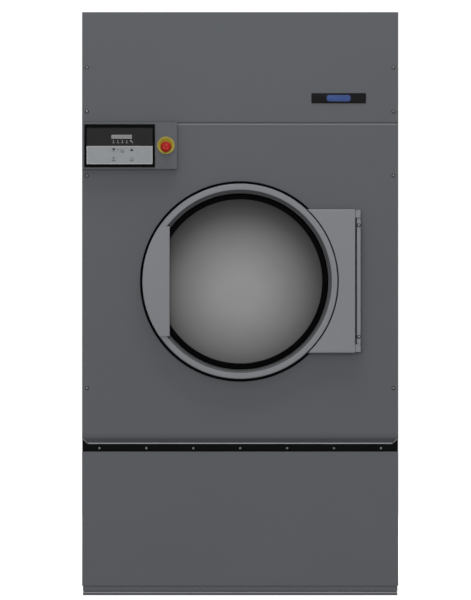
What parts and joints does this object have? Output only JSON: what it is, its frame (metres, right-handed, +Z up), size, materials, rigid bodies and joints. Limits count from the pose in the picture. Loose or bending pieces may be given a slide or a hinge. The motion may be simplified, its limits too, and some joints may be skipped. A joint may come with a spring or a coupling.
{
  "type": "industrial tumble dryer",
  "caption": "Tall steel-cased industrial tumble dryer with a round glazed side-hung door, keypad control box, emergency stop and fold-down lint door.",
  "frame": {"origin": "on the floor, under the middle of the machine's bounding box", "axes": "+X to the right of someone facing the front, +Y from the front to the back, +Z up"},
  "size_m": [1.182, 1.545, 2.18],
  "materials": {
    "cabinet_paint": "satin mid-grey powder coat on folded steel sheet",
    "door_steel": "satin light-grey coat on pressed steel",
    "black_plastic": "smooth black",
    "black_paint": "satin black paint on steel strip",
    "black_rubber": "matt black rubber",
    "keypad_film": "pale grey membrane film",
    "key_film": "pale grey domed membrane keys with black symbols",
    "tinted_glass": "smoked grey pane, darker towards its edge",
    "yellow_plastic": "dull yellow legend disc",
    "red_plastic": "red mushroom head",
    "zinc_steel": "zinc-coated steel",
    "stainless": "brushed stainless steel",
    "cast_iron": "dark painted casting",
    "motor_paint": "blue-grey motor enamel"
  },
  "bodies": {
    "cabinet": {"base_frame": "cabinet_paint", "left_side_panel": "cabinet_paint", "right_side_panel": "cabinet_paint", "rear_panel": "cabinet_paint", "top_panel": "cabinet_paint", "header_panel": "cabinet_paint", "nameplate": "black_plastic", "front_panel": "cabinet_paint", "lint_gap_strip": "black_paint", "lint_chamber_ceiling": "zinc_steel", "heater_floor": "zinc_steel", "rear_bulkhead": "zinc_steel", "lint_screen": "stainless", "loading_collar": "stainless", "door_seal": "black_rubber", "hinge_bar": "door_steel", "hinge_pin_lower": "zinc_steel", "hinge_pin_upper": "zinc_steel", "control_box": "cabinet_paint", "control_bezel": "black_plastic", "display_panel": "black_plastic", "keypad_plate": "keypad_film", "stop_legend": "yellow_plastic", "drum_bearing_front": "cast_iron", "drum_bearing_rear": "cast_iron", "jackshaft_bearing": "cast_iron", "drive_motor": "motor_paint", "drum_belt": "black_rubber", "motor_belt": "black_rubber", "blower_housing": "zinc_steel", "blower_motor": "motor_paint", "exhaust_duct": "zinc_steel", "heater_box": "zinc_steel", "heater_element": "zinc_steel"},
    "door": {"door_rim": "door_steel", "door_gasket": "black_rubber", "door_glass": "tinted_glass", "door_inner_ring": "stainless", "handle_plate": "door_steel", "hinge_plate": "door_steel"},
    "lint_door": {"lint_door": "cabinet_paint"},
    "drum": {"drum_shell": "stainless", "drum_back": "stainless", "drum_rib_1": "stainless", "drum_rib_2": "stainless", "drum_rib_3": "stainless", "drum_shaft": "zinc_steel", "drum_pulley": "cast_iron"},
    "jackshaft": {"jackshaft": "cast_iron", "jackshaft_pulley": "cast_iron"},
    "motor_rotor": {"motor_pulley": "cast_iron"},
    "blower_wheel": {"blower_wheel": "cast_iron"},
    "backdraft_flap": {"backdraft_flap": "zinc_steel"},
    "stop_plunger": {"stop_plunger": "black_plastic"},
    "stop_head": {"stop_head": "red_plastic"},
    "key_down": {"key_down": "key_film"},
    "key_enter": {"key_enter": "key_film"},
    "key_up": {"key_up": "key_film"},
    "key_stop": {"key_stop": "key_film"},
    "key_start": {"key_start": "key_film"}
  },
  "joints": [
    {"name": "door_hinge", "type": "hinge", "parent": "cabinet", "child": "door", "pos_m": [0.44265, -0.7195, 1.1736], "axis": [0, 0, 1], "range_deg": [0, 165]},
    {"name": "lint_door_hinge", "type": "hinge", "parent": "cabinet", "child": "lint_door", "pos_m": [0, -0.6815, 0.042], "axis": [1, 0, 0], "range_deg": [0, 90]},
    {"name": "drum_spin", "type": "hinge", "parent": "cabinet", "child": "drum", "pos_m": [0, 0, 1.1736], "axis": [0, 1, 0], "continuous": true},
    {"name": "jackshaft_spin", "type": "hinge", "parent": "cabinet", "child": "jackshaft", "pos_m": [-0.35, 0.6, 0.79], "axis": [0, 1, 0], "continuous": true},
    {"name": "motor_spin", "type": "hinge", "parent": "cabinet", "child": "motor_rotor", "pos_m": [-0.35, 0.55, 0.49], "axis": [0, 1, 0], "continuous": true},
    {"name": "blower_spin", "type": "hinge", "parent": "cabinet", "child": "blower_wheel", "pos_m": [0, 0.5, 0.3], "axis": [0, 1, 0], "continuous": true},
    {"name": "backdraft_flap_swing", "type": "hinge", "parent": "cabinet", "child": "backdraft_flap", "pos_m": [0.27, 0.54, 0.404], "axis": [0, -1, 0], "range_deg": [0, 70]},
    {"name": "stop_push", "type": "slide", "parent": "cabinet", "child": "stop_plunger", "axis": [0, 1, 0], "range_m": [0, 0.008], "stiffness_N_per_m": 400},
    {"name": "stop_twist", "type": "hinge", "parent": "stop_plunger", "child": "stop_head", "pos_m": [-0.277, -0.76, 1.6755], "axis": [0, 1, 0], "range_deg": [0, 45], "stiffness_Nm_per_rad": 0.2},
    {"name": "key_down_push", "type": "slide", "parent": "cabinet", "child": "key_down", "axis": [0, 1, 0], "range_m": [0, 0.001], "stiffness_N_per_m": 300},
    {"name": "key_enter_push", "type": "slide", "parent": "cabinet", "child": "key_enter", "axis": [0, 1, 0], "range_m": [0, 0.001], "stiffness_N_per_m": 300},
    {"name": "key_up_push", "type": "slide", "parent": "cabinet", "child": "key_up", "axis": [0, 1, 0], "range_m": [0, 0.001], "stiffness_N_per_m": 300},
    {"name": "key_stop_push", "type": "slide", "parent": "cabinet", "child": "key_stop", "axis": [0, 1, 0], "range_m": [0, 0.001], "stiffness_N_per_m": 300},
    {"name": "key_start_push", "type": "slide", "parent": "cabinet", "child": "key_start", "axis": [0, 1, 0], "range_m": [0, 0.001], "stiffness_N_per_m": 300}
  ],
  "couplings": [
    {"joint": "jackshaft_spin", "follows": "drum_spin", "ratio": 8.3333},
    {"joint": "motor_spin", "follows": "drum_spin", "ratio": 47.414}
  ]
}
